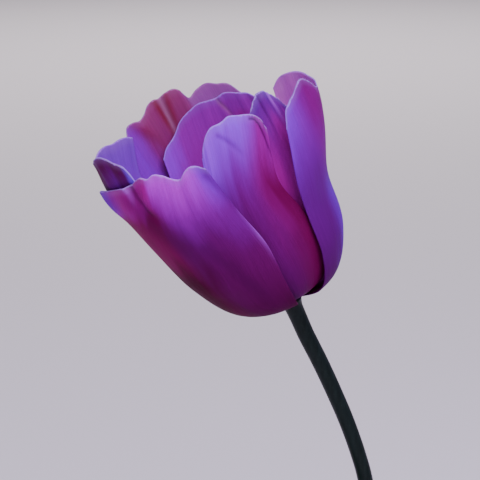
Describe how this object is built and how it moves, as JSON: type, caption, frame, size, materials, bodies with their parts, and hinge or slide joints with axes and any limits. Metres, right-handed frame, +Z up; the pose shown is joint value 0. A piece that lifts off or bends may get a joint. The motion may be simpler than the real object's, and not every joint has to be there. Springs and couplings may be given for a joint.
{
  "type": "tulip in a vase",
  "caption": "Cut purple tulip with an open, frilled bloom leaning on a bare stem, with leaves, in a plain clear glass vase of water.",
  "frame": {"origin": "centre of the vase's flat underside, on the surface it stands on", "axes": "+Z up along the vase's axis; +X to the viewer's right, the bloom leans to -X; -Y faces the viewer"},
  "size_m": [0.2289, 0.0872, 0.3857],
  "materials": {
    "vase_glass": "clear, smooth",
    "water": "clear, still",
    "stem_green": "waxy, satin",
    "leaf_green": "waxy with a grey bloom",
    "petal_purple": "satin, silky, finely ribbed",
    "pistil_green": "satin",
    "stamen_dark": "matt, powdery"
  },
  "bodies": {
    "root": {"vase": "vase_glass", "water": "water", "stem": "stem_green", "leaf_lower": "leaf_green", "leaf_upper": "leaf_green", "tepal_outer_left": "petal_purple", "tepal_outer_right": "petal_purple", "tepal_outer_back": "petal_purple", "tepal_inner_front": "petal_purple", "tepal_inner_left": "petal_purple", "tepal_inner_right": "petal_purple", "tepal_inner_back": "petal_purple", "pistil": "pistil_green", "stamens": "stamen_dark"}
  },
  "joints": []
}
